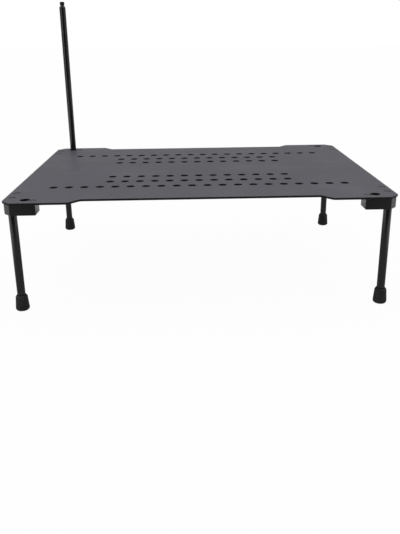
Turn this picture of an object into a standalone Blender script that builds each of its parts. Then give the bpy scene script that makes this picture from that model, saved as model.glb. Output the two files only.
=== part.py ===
# Folding camp table: a perforated plate on four fold-in legs, with a lift-off lamp pole.
#
# World frame: metres, +Z up, origin on the floor under the middle of the plate.
# The long edges run along X and the front is at -Y.
# Corner hardware is drawn once in corner coordinates (u, v, w): u runs inward from the
# plate's short edge, v runs inward from its long edge, and w is 0 at the plate's underside.
# One transform per corner turns or mirrors it into place.

from math import atan2, cos, pi, radians, sin, sqrt, tau

import bmesh
import bpy
from mathutils import Matrix, Vector

# Table
TABLE_LENGTH = 0.400
TABLE_DEPTH = 0.310
TABLE_HEIGHT = 0.120
PLATE_THICKNESS = 0.0022
CORNER_CHAMFER = 0.010
CORNER_RADIUS = 0.0025
RECESS_DEPTH = 0.012
RECESS_LENGTH = 0.244
RECESS_SLANT = 0.0105
RECESS_RADIUS = 0.004

# Perforations: on each half an outer row of many holes and inner rows of fewer
HOLE_DIAMETER = 0.00915
HOLE_PITCH = 0.01675
OUTER_ROW_HOLES = 20
INNER_ROW_HOLES = 13
INNER_ROWS = 2
OUTER_ROW_Y = 0.0905
ROW_SPACING = 0.0249

# Clearances
GAP = 0.0003
CAM_CLEARANCE = 0.00015
SOCKET_CLEARANCE = 0.0009

# Leg
LEG_DIAMETER = 0.0085
LEG_WALL = 0.001
LEG_INSET_X = 0.0087
LEG_INSET_Y = 0.0124
LUG_DROP = 0.0033
LUG_SPIGOT = 0.010
PIN_DIAMETER = 0.003
PIN_CHAMFER = 0.0003
PIN_RECESS = 0.0002

# Foot
FOOT_DIAMETER = 0.0142
FOOT_HEIGHT = 0.0172
FOOT_SHOULDER_DIAMETER = 0.0110
FOOT_NECK = 0.0018
FOOT_LIP = 0.0004
FOOT_SOLE = 0.004
FOOT_EDGE_RADIUS = 0.0026

# Corner bracket
BRACKET_HEIGHT = 0.0107
BRACKET_SETBACK = 0.0008
BRACKET_FRONT_LENGTH = 0.035
BRACKET_FRONT_DEPTH = 0.0187
BRACKET_SIDE_LENGTH = 0.052
BRACKET_ROOF = 0.0015
BRACKET_EDGE = 0.0008
BRACKET_CORNER_RADIUS = 0.0012
ARM_END_HEIGHT = 0.0062
ARM_TAPER_LENGTH = 0.026
SLOT_WALL = 0.002

# Leaf spring over the leg's cam
SPRING_THICKNESS = 0.0004
SPRING_BEND_LENGTH = 0.0024
SPRING_END_MARGIN = 0.003

# Rivets: two over the leg channel and one at the end of the front arm
RIVET_DIAMETER = 0.0032
RIVET_HEAD_DIAMETER = 0.0064
RIVET_SINK = 0.0001
RIVET_DIMPLE_DIAMETER = 0.0034
RIVET_DIMPLE_DEPTH = 0.0004
RIVET_TAIL_DIAMETER = 0.0046
RIVET_TAIL = 0.0003
SIDE_RIVET_OFFSET = 0.0014
SIDE_RIVET_V = (0.0225, 0.0415)
FRONT_RIVET = (0.0310, 0.0102)
RIVET_ACCESS_CLEARANCE = 0.0004

# Lamp pole and its sockets
POLE_HEIGHT = 0.200
POLE_DIAMETER = 0.0082
POLE_WALL = 0.0009
SOCKET_INSET_X = 0.0225
SOCKET_INSET_Y = 0.013
BUSH_RECESS = 0.0033
BUSH_CHAMFER = 0.0003
SPIGOT_DIAMETER = 0.0064
SPIGOT_LENGTH = 0.0072
SPIGOT_CHAMFER = 0.0006
COLLAR_HEIGHT = 0.0015
PLUG_LENGTH = 0.010
TIP_SHOULDER_LAND = 0.0004
TIP_SHOULDER = 0.0019
TIP_NECK_DIAMETER = 0.0050
TIP_NECK = 0.0009
TIP_HEAD_DIAMETER = 0.0061
TIP_HEAD = 0.0040
TIP_CHAMFER = 0.0006

# Facets
HOLE_SIDES = 12
TUBE_SIDES = 16
FOOT_SIDES = 16
SMALL_SIDES = 12
FILLET_STEPS = 3
FOOT_EDGE_STEPS = 3
CAM_ARC_STEPS = 5
SPRING_BEND_STEPS = 4
BRACKET_EDGE_SEGMENTS = 2
SMOOTH_ANGLE = radians(35)

# Derived sizes shared by pieces that fit together
UNDERSIDE = TABLE_HEIGHT - PLATE_THICKNESS
LEG_RADIUS = LEG_DIAMETER / 2
LEG_BORE_RADIUS = LEG_RADIUS - LEG_WALL
SLOT_HALF = LEG_RADIUS + GAP
SLOT_OUTER = LEG_INSET_X - SLOT_HALF
SLOT_INNER = LEG_INSET_X + SLOT_HALF
SLOT_FRONT = LEG_INSET_Y - SLOT_HALF
BRACKET_SIDE_FACE = SLOT_OUTER - SLOT_WALL
BRACKET_ARM_FACE = SLOT_INNER + SLOT_WALL
BRACKET_BACK_FACE = BRACKET_SETBACK + BRACKET_FRONT_DEPTH
BRACKET_BOTTOM = -GAP - BRACKET_HEIGHT
ARM_TAPER_START = BRACKET_SIDE_LENGTH - ARM_TAPER_LENGTH
ROOF_UNDER = -GAP - BRACKET_ROOF
SPRING_TOP = ROOF_UNDER - GAP
SPRING_UNDER = SPRING_TOP - SPRING_THICKNESS
SIDE_TAIL_TOP = SPRING_UNDER - GAP
CAM_TOP_LIMIT = SIDE_TAIL_TOP - RIVET_TAIL
PIVOT_DROP = max(SLOT_HALF - CAM_TOP_LIMIT, FOOT_DIAMETER / 2 + GAP)
CAM_RADIUS = SLOT_HALF - CAM_CLEARANCE
PIN_HOLE_RADIUS = PIN_DIAMETER / 2 + GAP
PIN_START = BRACKET_SIDE_FACE + PIN_RECESS
PIN_END = SLOT_INNER + SLOT_WALL
POLE_RADIUS = POLE_DIAMETER / 2
POLE_BORE_RADIUS = POLE_RADIUS - POLE_WALL
SOCKET_HOLE_RADIUS = POLE_RADIUS + SOCKET_CLEARANCE
BUSH_RADIUS = POLE_RADIUS + GAP
BUSH_BORE_RADIUS = SPIGOT_DIAMETER / 2 + GAP
BUSH_HOLE_RADIUS = BUSH_RADIUS + GAP
BUSH_TOP = -GAP - BUSH_RECESS
BUSH_BOTTOM = BRACKET_BOTTOM + GAP
RIVET_HOLE_RADIUS = RIVET_DIAMETER / 2 + GAP
SIDE_RIVET_U = LEG_INSET_X - SIDE_RIVET_OFFSET
SIDE_RIVETS = [(SIDE_RIVET_U, v) for v in SIDE_RIVET_V]
RIVETS = SIDE_RIVETS + [FRONT_RIVET]
RIVET_PLACES = ("side_1", "side_2", "front")

# Corner name, side of the plate along X, side along Y
CORNERS = (
    ("front_left", -1, -1),
    ("front_right", 1, -1),
    ("rear_left", -1, 1),
    ("rear_right", 1, 1),
)
POLE_CORNER = "rear_left"

# Finish: base colour, roughness, metallic
FINISHES = {
    "plate_anodised": ((0.115, 0.112, 0.130), 0.48, 0.55),
    "bracket_black": ((0.014, 0.014, 0.016), 0.42, 0.40),
    "tube_black": ((0.020, 0.020, 0.022), 0.34, 0.50),
    "rivet_grey": ((0.075, 0.073, 0.084), 0.45, 0.60),
    "steel": ((0.40, 0.40, 0.41), 0.34, 1.0),
    "spring_steel": ((0.17, 0.17, 0.18), 0.38, 1.0),
    "brass": ((0.50, 0.34, 0.12), 0.36, 1.0),
    "rubber_black": ((0.018, 0.018, 0.020), 0.72, 0.0),
}


def clear_scene():
    for leftover in list(bpy.data.objects):
        bpy.data.objects.remove(leftover, do_unlink=True)


def finish_material(finish):
    existing = bpy.data.materials.get(finish)
    if existing:
        return existing
    colour, roughness, metallic = FINISHES[finish]
    made = bpy.data.materials.new(finish)
    made.use_nodes = True
    shader = made.node_tree.nodes["Principled BSDF"]
    shader.inputs["Base Color"].default_value = (*colour, 1.0)
    shader.inputs["Roughness"].default_value = roughness
    shader.inputs["Metallic"].default_value = metallic
    made.diffuse_color = (*colour, 1.0)
    return made


def mesh_from(shape, name):
    bmesh.ops.recalc_face_normals(shape, faces=shape.faces)
    mesh = bpy.data.meshes.new(name)
    shape.to_mesh(mesh)
    shape.free()
    return mesh


def add_piece(name, mesh, finish):
    mesh.name = name
    mesh.materials.clear()
    mesh.materials.append(finish_material(finish))
    mesh.shade_smooth()
    mesh.set_sharp_from_angle(angle=SMOOTH_ANGLE)
    piece = bpy.data.objects.new(name, mesh)
    bpy.context.collection.objects.link(piece)
    return piece


def add_pivot(name, place):
    pivot = bpy.data.objects.new(name, None)
    pivot.empty_display_size = 0.01
    pivot.location = place
    bpy.context.collection.objects.link(pivot)
    return pivot


# Flat outlines

def circle(centre, radius, sides):
    return [
        (centre[0] + radius * cos(tau * k / sides), centre[1] + radius * sin(tau * k / sides))
        for k in range(sides)
    ]


def fillet(before, corner, after, radius):
    corner = Vector(corner)
    back = (Vector(before) - corner).normalized()
    ahead = (Vector(after) - corner).normalized()
    half = back.angle(ahead) / 2
    centre = corner + (back + ahead).normalized() * radius / sin(half)
    start = corner + back * radius * cos(half) / sin(half) - centre
    end = corner + ahead * radius * cos(half) / sin(half) - centre
    first = atan2(start.y, start.x)
    sweep = (atan2(end.y, end.x) - first + pi) % tau - pi
    return [
        (centre.x + radius * cos(first + sweep * k / FILLET_STEPS),
         centre.y + radius * sin(first + sweep * k / FILLET_STEPS))
        for k in range(FILLET_STEPS + 1)
    ]


def rounded(corners):
    outline = []
    for k, (x, y, radius) in enumerate(corners):
        before = corners[k - 1][:2]
        after = corners[(k + 1) % len(corners)][:2]
        if radius:
            outline += fillet(before, (x, y), after, radius)
        else:
            outline.append((x, y))
    return outline


# Solids

def add_ring(shape, points, height):
    return [shape.verts.new((x, y, height)) for x, y in points]


def join_rings(shape, lower, upper):
    count = max(len(lower), len(upper))
    for k in range(count):
        following = (k + 1) % count
        if len(lower) == 1:
            shape.faces.new((lower[0], upper[following], upper[k]))
        elif len(upper) == 1:
            shape.faces.new((lower[k], lower[following], upper[0]))
        else:
            shape.faces.new((lower[k], lower[following], upper[following], upper[k]))


def ring_edges(shape, ring):
    return [shape.edges.get((ring[k - 1], ring[k])) for k in range(len(ring))]


def sheet_with_walls(name, walls):
    # Each wall is a list of rings from the bottom face up to the top face
    shape = bmesh.new()
    bottom_edges = []
    top_edges = []
    for wall in walls:
        rings = [add_ring(shape, points, height) for points, height in wall]
        for lower, upper in zip(rings, rings[1:]):
            join_rings(shape, lower, upper)
        bottom_edges += ring_edges(shape, rings[0])
        top_edges += ring_edges(shape, rings[-1])
    bmesh.ops.triangle_fill(shape, use_beauty=True, edges=bottom_edges)
    bmesh.ops.triangle_fill(shape, use_beauty=True, edges=top_edges)
    return mesh_from(shape, name)


def prism(name, outline, low, high):
    return sheet_with_walls(name, [[(outline, low), (outline, high)]])


def turned(name, profile, sides, hollow=False):
    # profile is (radius, height) along one side; a hollow one closes on itself
    shape = bmesh.new()
    rings = []
    for radius, height in profile:
        points = circle((0, 0), radius, sides) if radius > 0 else [(0, 0)]
        rings.append(add_ring(shape, points, height))
    for lower, upper in zip(rings, rings[1:]):
        join_rings(shape, lower, upper)
    if hollow:
        join_rings(shape, rings[-1], rings[0])
    return mesh_from(shape, name)


def box(name, low, high):
    outline = [(low[0], low[1]), (high[0], low[1]), (high[0], high[1]), (low[0], high[1])]
    return prism(name, outline, low[2], high[2])


def rod(name, centre, radius, low, high, sides):
    return prism(name, circle(centre, radius, sides), low, high)


def rod_along_u(name, v, w, radius, low, high, sides):
    mesh = rod(name, (0, 0), radius, low, high, sides)
    mesh.transform(Matrix.Translation((0, v, w)) @ Matrix.Rotation(pi / 2, 4, "Y"))
    return mesh


def swept_along_u(name, outline, low, high):
    # outline is in v and w, so (x, y, z) of its prism becomes (z, x, y)
    mesh = prism(name, outline, low, high)
    mesh.transform(Matrix(((0, 0, 1, 0), (1, 0, 0, 0), (0, 1, 0, 0), (0, 0, 0, 1))))
    return mesh


def combined(mesh, others, operation):
    # EXACT boolean of a mesh with others, applied
    body = bpy.data.objects.new("body", mesh)
    bpy.context.collection.objects.link(body)
    guides = []
    for other in others:
        guide = bpy.data.objects.new("guide", other)
        guide.hide_render = True
        guide.display_type = "WIRE"
        bpy.context.collection.objects.link(guide)
        guides.append(guide)
        change = body.modifiers.new("change", "BOOLEAN")
        change.operation = operation
        change.solver = "EXACT"
        change.object = guide
    graph = bpy.context.evaluated_depsgraph_get()
    result = bpy.data.meshes.new_from_object(body.evaluated_get(graph))
    for spare in [body] + guides:
        bpy.data.objects.remove(spare, do_unlink=True)
    return result


# Corner transform

def corner_frame(side_x, side_y):
    return Matrix((
        (-side_x, 0, 0, side_x * TABLE_LENGTH / 2),
        (0, -side_y, 0, side_y * TABLE_DEPTH / 2),
        (0, 0, 1, UNDERSIDE),
        (0, 0, 0, 1),
    ))


def set_in_corner(mesh, frame):
    placed = mesh.copy()
    placed.transform(frame)
    if frame.determinant() < 0:
        placed.flip_normals()
    return placed


# Plate

def plate_outline():
    half_length = TABLE_LENGTH / 2
    half_depth = TABLE_DEPTH / 2
    quarter = [
        (half_length, half_depth - CORNER_CHAMFER, CORNER_RADIUS),
        (half_length - CORNER_CHAMFER, half_depth, CORNER_RADIUS),
        (RECESS_LENGTH / 2 + RECESS_SLANT, half_depth, RECESS_RADIUS),
        (RECESS_LENGTH / 2, half_depth - RECESS_DEPTH, RECESS_RADIUS),
    ]
    corners = []
    for side_x, side_y in ((1, 1), (-1, 1), (-1, -1), (1, -1)):
        turned_quarter = [(side_x * x, side_y * y, radius) for x, y, radius in quarter]
        if side_x * side_y < 0:
            turned_quarter.reverse()
        corners += turned_quarter
    return rounded(corners)


def row_centres(count, y):
    return [((k - (count - 1) / 2) * HOLE_PITCH, y) for k in range(count)]


def perforation_centres():
    centres = []
    for side in (-1, 1):
        centres += row_centres(OUTER_ROW_HOLES, side * OUTER_ROW_Y)
        for row in range(1, INNER_ROWS + 1):
            centres += row_centres(INNER_ROW_HOLES, side * (OUTER_ROW_Y - row * ROW_SPACING))
    return centres


def countersink_wall(centre, low, high):
    mouth = RIVET_HEAD_DIAMETER / 2 + GAP
    cone_foot = high - (mouth - RIVET_HOLE_RADIUS)
    return [
        (circle(centre, RIVET_HOLE_RADIUS, SMALL_SIDES), low),
        (circle(centre, RIVET_HOLE_RADIUS, SMALL_SIDES), cone_foot),
        (circle(centre, mouth, SMALL_SIDES), high),
    ]


def table_plate():
    low = UNDERSIDE
    high = TABLE_HEIGHT
    outline = plate_outline()
    walls = [[(outline, low), (outline, high)]]
    for centre in perforation_centres():
        hole = circle(centre, HOLE_DIAMETER / 2, HOLE_SIDES)
        walls.append([(hole, low), (hole, high)])
    for _, side_x, side_y in CORNERS:
        frame = corner_frame(side_x, side_y)
        socket = frame @ Vector((SOCKET_INSET_X, SOCKET_INSET_Y, 0))
        hole = circle(socket, SOCKET_HOLE_RADIUS, TUBE_SIDES)
        walls.append([(hole, low), (hole, high)])
        for u, v in RIVETS:
            walls.append(countersink_wall(frame @ Vector((u, v, 0)), low, high))
    add_piece("table_plate", sheet_with_walls("table_plate", walls), "plate_anodised")


# Corner bracket, in corner coordinates

def bracket_outline():
    side = BRACKET_SIDE_FACE
    front = BRACKET_SETBACK
    radius = BRACKET_CORNER_RADIUS
    return rounded([
        (CORNER_CHAMFER - front, front, radius),
        (BRACKET_FRONT_LENGTH, front, radius),
        (BRACKET_FRONT_LENGTH, BRACKET_BACK_FACE, radius),
        (BRACKET_ARM_FACE, BRACKET_BACK_FACE, radius),
        (BRACKET_ARM_FACE, BRACKET_SIDE_LENGTH, radius),
        (side, BRACKET_SIDE_LENGTH, radius),
        (side, CORNER_CHAMFER - side, radius),
    ])


def bracket_floor(v):
    # Height of the bottom face: the side arm gets lower towards its end
    share = max(v - ARM_TAPER_START, 0) / ARM_TAPER_LENGTH
    return BRACKET_BOTTOM + share * (BRACKET_HEIGHT - ARM_END_HEIGHT)


def bracket_block():
    shape = bmesh.new()
    lower = add_ring(shape, bracket_outline(), BRACKET_BOTTOM)
    upper = add_ring(shape, bracket_outline(), -GAP)
    join_rings(shape, lower, upper)
    shape.faces.new(upper)
    shape.faces.new(lower)
    everything = shape.verts[:] + shape.edges[:] + shape.faces[:]
    bmesh.ops.bisect_plane(
        shape, geom=everything, plane_co=(0, ARM_TAPER_START, 0), plane_no=(0, 1, 0),
    )
    halfway = -GAP - BRACKET_HEIGHT / 2
    bottom = [face for face in shape.faces if all(vert.co.z < halfway for vert in face.verts)]
    for vert in {vert for face in bottom for vert in face.verts}:
        vert.co.z = bracket_floor(vert.co.y)
    bmesh.ops.recalc_face_normals(shape, faces=shape.faces)
    rim = [edge for face in bottom for edge in face.edges if not set(edge.link_faces) <= set(bottom)]
    bmesh.ops.bevel(
        shape, geom=rim, offset=BRACKET_EDGE, offset_type="OFFSET",
        segments=BRACKET_EDGE_SEGMENTS, profile=0.5, affect="EDGES", clamp_overlap=True,
    )
    return mesh_from(shape, "block")


def leg_slot_cutter():
    low = (SLOT_OUTER, SLOT_FRONT, BRACKET_BOTTOM - BRACKET_HEIGHT)
    high = (SLOT_INNER, BRACKET_SIDE_LENGTH + BRACKET_HEIGHT, ROOF_UNDER)
    return box("slot", low, high)


def bracket_cutters():
    below = BRACKET_BOTTOM - GAP
    above = BRACKET_HEIGHT
    socket = (SOCKET_INSET_X, SOCKET_INSET_Y)
    access_radius = RIVET_TAIL_DIAMETER / 2 + RIVET_ACCESS_CLEARANCE
    cutters = [
        leg_slot_cutter(),
        rod("socket", socket, BUSH_HOLE_RADIUS, below, above, TUBE_SIDES),
        rod("access", FRONT_RIVET, access_radius, below, ROOF_UNDER, SMALL_SIDES),
        rod_along_u("pin_hole", LEG_INSET_Y, -PIVOT_DROP, PIN_HOLE_RADIUS,
                    -BRACKET_SIDE_FACE, PIN_END + GAP, SMALL_SIDES),
    ]
    for centre in RIVETS:
        cutters.append(rod("rivet_hole", centre, RIVET_HOLE_RADIUS, below, above, SMALL_SIDES))
    return cutters


def bracket_mesh():
    return combined(bracket_block(), bracket_cutters(), "DIFFERENCE")


# Rivets and spring, in corner coordinates

def rivet_mesh(tail_top):
    head_top = PLATE_THICKNESS - RIVET_SINK
    head = RIVET_HEAD_DIAMETER / 2
    shank = RIVET_DIAMETER / 2
    tail = RIVET_TAIL_DIAMETER / 2
    profile = [
        (0, tail_top - RIVET_TAIL),
        (tail, tail_top - RIVET_TAIL),
        (tail, tail_top),
        (shank, tail_top),
        (shank, head_top - (head - shank)),
        (head, head_top),
        (RIVET_DIMPLE_DIAMETER / 2, head_top),
        (0, head_top - RIVET_DIMPLE_DEPTH),
    ]
    return turned("rivet", profile, SMALL_SIDES)


def spring_side_profile():
    # v and w of the strip: flat under the roof, stepped down over the cam
    start = SLOT_FRONT + GAP
    cam_end = LEG_INSET_Y + SLOT_HALF
    bend_end = cam_end + SPRING_BEND_LENGTH
    end = BRACKET_SIDE_LENGTH - SPRING_END_MARGIN
    cam_under = SLOT_HALF - PIVOT_DROP
    drop = SPRING_UNDER - cam_under
    under = [(start, cam_under)]
    for k in range(SPRING_BEND_STEPS + 1):
        share = k / SPRING_BEND_STEPS
        rise = drop * (1 - cos(pi * share)) / 2
        under.append((cam_end + (bend_end - cam_end) * share, cam_under + rise))
    under.append((end, SPRING_UNDER))
    top = [(v, w + SPRING_THICKNESS) for v, w in reversed(under)]
    return under + top


def spring_mesh():
    strip = swept_along_u("strip", spring_side_profile(), SLOT_OUTER + GAP, SLOT_INNER - GAP)
    holes = [
        rod("rivet_hole", centre, RIVET_HOLE_RADIUS, CAM_TOP_LIMIT, -GAP, SMALL_SIDES)
        for centre in SIDE_RIVETS
    ]
    return combined(strip, holes, "DIFFERENCE")


def pin_mesh():
    radius = PIN_DIAMETER / 2
    profile = [
        (0, PIN_START),
        (radius - PIN_CHAMFER, PIN_START),
        (radius, PIN_START + PIN_CHAMFER),
        (radius, PIN_END - PIN_CHAMFER),
        (radius - PIN_CHAMFER, PIN_END),
        (0, PIN_END),
    ]
    mesh = turned("pin", profile, SMALL_SIDES)
    lie_along_u = Matrix.Rotation(pi / 2, 4, "Y")
    mesh.transform(Matrix.Translation((0, LEG_INSET_Y, -PIVOT_DROP)) @ lie_along_u)
    return mesh


def bush_mesh():
    profile = [
        (BUSH_BORE_RADIUS, BUSH_BOTTOM),
        (BUSH_RADIUS, BUSH_BOTTOM),
        (BUSH_RADIUS, BUSH_TOP),
        (BUSH_BORE_RADIUS + BUSH_CHAMFER, BUSH_TOP),
        (BUSH_BORE_RADIUS, BUSH_TOP - BUSH_CHAMFER),
    ]
    mesh = turned("bush", profile, TUBE_SIDES, hollow=True)
    mesh.transform(Matrix.Translation((SOCKET_INSET_X, SOCKET_INSET_Y, 0)))
    return mesh


# Leg pieces, measured from the pivot with the leg hanging down

def cam_outline():
    # Round top of the lug with flats on its front, top and back; v across, w up
    flat = LEG_RADIUS
    half_flat = sqrt(CAM_RADIUS ** 2 - flat ** 2)
    arc_start = atan2(half_flat, flat)
    arc_end = atan2(flat, half_flat)
    arc = []
    for k in range(CAM_ARC_STEPS + 1):
        turn = arc_start + (arc_end - arc_start) * k / CAM_ARC_STEPS
        arc.append((CAM_RADIUS * cos(turn), CAM_RADIUS * sin(turn)))
    other = [(-v, w) for v, w in reversed(arc)]
    return [(flat, -LUG_DROP)] + arc + other + [(-flat, -LUG_DROP)]


def lug_mesh():
    head = swept_along_u("head", cam_outline(), -LEG_RADIUS, LEG_RADIUS)
    spigot_radius = LEG_BORE_RADIUS - GAP
    spigot = rod("spigot", (0, 0), spigot_radius, -LUG_DROP - LUG_SPIGOT, -LUG_DROP / 2, SMALL_SIDES)
    bore = rod_along_u("bore", 0, 0, PIN_HOLE_RADIUS, -LEG_DIAMETER, LEG_DIAMETER, SMALL_SIDES)
    return combined(combined(head, [spigot], "UNION"), [bore], "DIFFERENCE")


def leg_tube_mesh():
    floor = PIVOT_DROP - UNDERSIDE
    low = floor + FOOT_SOLE + GAP
    high = -LUG_DROP - GAP
    profile = [
        (LEG_BORE_RADIUS, low),
        (LEG_RADIUS, low),
        (LEG_RADIUS, high),
        (LEG_BORE_RADIUS, high),
    ]
    return turned("leg_tube", profile, TUBE_SIDES, hollow=True)


def foot_mesh():
    floor = PIVOT_DROP - UNDERSIDE
    widest = FOOT_DIAMETER / 2
    shoulder = FOOT_SHOULDER_DIAMETER / 2
    bore = LEG_RADIUS + GAP
    edge = FOOT_EDGE_RADIUS
    profile = [(0, 0)]
    for k in range(FOOT_EDGE_STEPS + 1):
        turn = pi / 2 * k / FOOT_EDGE_STEPS
        profile.append((widest - edge + edge * sin(turn), edge - edge * cos(turn)))
    profile += [
        (shoulder, FOOT_HEIGHT - FOOT_NECK),
        (bore + FOOT_LIP, FOOT_HEIGHT),
        (bore, FOOT_HEIGHT),
        (bore, FOOT_SOLE),
        (0, FOOT_SOLE),
    ]
    mesh = turned("foot", profile, FOOT_SIDES)
    mesh.transform(Matrix.Translation((0, 0, floor)))
    return mesh


# Lamp pole pieces, measured from the plate's top face on the pole's axis

def pole_tube_mesh(low, high):
    profile = [
        (POLE_BORE_RADIUS, low),
        (POLE_RADIUS, low),
        (POLE_RADIUS, high),
        (POLE_BORE_RADIUS, high),
    ]
    return turned("pole_tube", profile, TUBE_SIDES, hollow=True)


def pole_spigot_mesh(seat):
    # seat is the height of the bush's top; the collar stands on it
    spigot = SPIGOT_DIAMETER / 2
    plug = POLE_BORE_RADIUS - GAP
    under = seat + GAP
    collar_top = under + COLLAR_HEIGHT
    profile = [
        (0, under - SPIGOT_LENGTH),
        (spigot - SPIGOT_CHAMFER, under - SPIGOT_LENGTH),
        (spigot, under - SPIGOT_LENGTH + SPIGOT_CHAMFER),
        (spigot, under),
        (POLE_RADIUS, under),
        (POLE_RADIUS, collar_top),
        (plug, collar_top),
        (plug, collar_top + PLUG_LENGTH),
        (0, collar_top + PLUG_LENGTH),
    ]
    return turned("pole_base_spigot", profile, TUBE_SIDES)


def pole_tip_mesh(base):
    # base is the height at which the stud's shoulder stands on the tube
    plug = POLE_BORE_RADIUS - GAP
    neck = TIP_NECK_DIAMETER / 2
    head = TIP_HEAD_DIAMETER / 2
    taper_top = base + TIP_SHOULDER_LAND + TIP_SHOULDER
    neck_top = taper_top + TIP_NECK
    profile = [
        (0, base - PLUG_LENGTH),
        (plug, base - PLUG_LENGTH),
        (plug, base),
        (POLE_RADIUS, base),
        (POLE_RADIUS, base + TIP_SHOULDER_LAND),
        (neck, taper_top),
        (neck, neck_top),
        (head, neck_top),
        (head, neck_top + TIP_HEAD - TIP_CHAMFER),
        (head - TIP_CHAMFER, neck_top + TIP_HEAD),
        (0, neck_top + TIP_HEAD),
    ]
    return turned("pole_tip_stud", profile, TUBE_SIDES)


# Assembly

def add_fixed_hardware(corner, frame, drawings):
    for label, finish in (("corner_bracket", "bracket_black"), ("socket_bush", "brass"),
                          ("leaf_spring", "spring_steel"), ("pivot_pin", "steel")):
        add_piece(f"{label}_{corner}", set_in_corner(drawings[label], frame), finish)
    for place, (u, v) in zip(RIVET_PLACES, RIVETS):
        drawing = drawings["front_rivet"] if place == "front" else drawings["side_rivet"]
        at_rivet = frame @ Matrix.Translation((u, v, 0))
        add_piece(f"rivet_{corner}_{place}", set_in_corner(drawing, at_rivet), "rivet_grey")


def add_leg(corner, frame, drawings):
    pivot = add_pivot(f"leg_pivot_{corner}", frame @ Vector((LEG_INSET_X, LEG_INSET_Y, -PIVOT_DROP)))
    turn = frame.to_3x3().to_4x4()
    for label, finish in (("leg_tube", "tube_black"), ("hinge_lug", "steel"),
                          ("rubber_foot", "rubber_black")):
        piece = add_piece(f"{label}_{corner}", set_in_corner(drawings[label], turn), finish)
        piece.parent = pivot


def add_pole(frame):
    on_plate = frame @ Vector((SOCKET_INSET_X, SOCKET_INSET_Y, PLATE_THICKNESS))
    pivot = add_pivot("pole_axis", on_plate)
    seat = BUSH_TOP - PLATE_THICKNESS
    tube_low = seat + 2 * GAP + COLLAR_HEIGHT
    tip_base = POLE_HEIGHT - TIP_HEAD - TIP_NECK - TIP_SHOULDER - TIP_SHOULDER_LAND
    pieces = (
        ("pole_tube", pole_tube_mesh(tube_low, tip_base - GAP), "tube_black"),
        ("pole_base_spigot", pole_spigot_mesh(seat), "steel"),
        ("pole_tip_stud", pole_tip_mesh(tip_base), "bracket_black"),
    )
    for name, mesh, finish in pieces:
        add_piece(name, mesh, finish).parent = pivot


def build_table():
    clear_scene()
    drawings = {
        "corner_bracket": bracket_mesh(),
        "socket_bush": bush_mesh(),
        "leaf_spring": spring_mesh(),
        "pivot_pin": pin_mesh(),
        "side_rivet": rivet_mesh(SIDE_TAIL_TOP),
        "front_rivet": rivet_mesh(ROOF_UNDER - GAP),
        "leg_tube": leg_tube_mesh(),
        "hinge_lug": lug_mesh(),
        "rubber_foot": foot_mesh(),
    }
    table_plate()
    for corner, side_x, side_y in CORNERS:
        frame = corner_frame(side_x, side_y)
        add_fixed_hardware(corner, frame, drawings)
        add_leg(corner, frame, drawings)
        if corner == POLE_CORNER:
            add_pole(frame)
    for drawing in drawings.values():
        bpy.data.meshes.remove(drawing)


build_table()
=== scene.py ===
from math import atan2, cos, pi, radians, sin, tau

import bmesh
import bpy
from mathutils import Matrix, Vector


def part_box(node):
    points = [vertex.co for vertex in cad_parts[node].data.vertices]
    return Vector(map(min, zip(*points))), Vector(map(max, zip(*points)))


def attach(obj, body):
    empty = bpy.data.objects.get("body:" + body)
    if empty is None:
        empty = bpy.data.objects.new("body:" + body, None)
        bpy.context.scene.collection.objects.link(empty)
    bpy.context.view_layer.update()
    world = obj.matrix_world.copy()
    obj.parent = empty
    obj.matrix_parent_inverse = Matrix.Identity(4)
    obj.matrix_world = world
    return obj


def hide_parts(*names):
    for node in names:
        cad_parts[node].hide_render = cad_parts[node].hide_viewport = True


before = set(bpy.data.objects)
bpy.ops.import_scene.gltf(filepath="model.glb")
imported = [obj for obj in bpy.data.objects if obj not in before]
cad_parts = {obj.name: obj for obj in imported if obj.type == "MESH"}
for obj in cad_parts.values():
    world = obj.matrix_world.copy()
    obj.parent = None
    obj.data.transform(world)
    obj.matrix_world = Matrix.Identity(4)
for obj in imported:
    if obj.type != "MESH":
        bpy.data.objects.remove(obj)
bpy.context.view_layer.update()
mm = 0.001
clearance = 0.3 * mm                          # running gap between touching pieces
samePoint = 0.001 * mm                        # points closer than this become one
sameSeam = 0.004 * mm                         # the same where Geometry Nodes join walls and lids
sameLevel = 0.01 * mm                         # how far a flat edge may be from flat
wornEdge = 0.35 * mm                          # turned faces narrower than this count as rubbed edges

cornerSides = {                               # side of the plate along X and along Y
    "front_left": (-1, -1),
    "front_right": (1, -1),
    "rear_left": (-1, 1),
    "rear_right": (1, 1),
}
plateLow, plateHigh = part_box("table_plate")


# Short-hand for node trees

class Wire:                                   # a node's output that takes part in sums
    def __init__(self, graph, socket):
        self.graph = graph
        self.socket = socket

    def other(self, name):
        return Wire(self.graph, self.socket.node.outputs[name])

    def sum(self, operation, first, second):
        return self.graph.node("ShaderNodeMath", {"operation": operation}, {0: first, 1: second})

    def __add__(self, value):
        return self.sum("ADD", self, value)

    def __radd__(self, value):
        return self.sum("ADD", value, self)

    def __sub__(self, value):
        return self.sum("SUBTRACT", self, value)

    def __rsub__(self, value):
        return self.sum("SUBTRACT", value, self)

    def __mul__(self, value):
        return self.sum("MULTIPLY", self, value)

    def __rmul__(self, value):
        return self.sum("MULTIPLY", value, self)

    def __truediv__(self, value):
        return self.sum("DIVIDE", self, value)

    def __neg__(self):
        return self.sum("MULTIPLY", self, -1.0)

    def above(self, value):
        return self.sum("GREATER_THAN", self, value)

    def size(self):
        return self.sum("ABSOLUTE", self, 0.0)

    def spread(self, low, high):              # 0 below low, 1 above high, smooth between
        settings = {"interpolation_type": "SMOOTHSTEP"}
        sockets = {"Value": self, "From Min": low, "From Max": high}
        return self.graph.node("ShaderNodeMapRange", settings, sockets)


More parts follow.
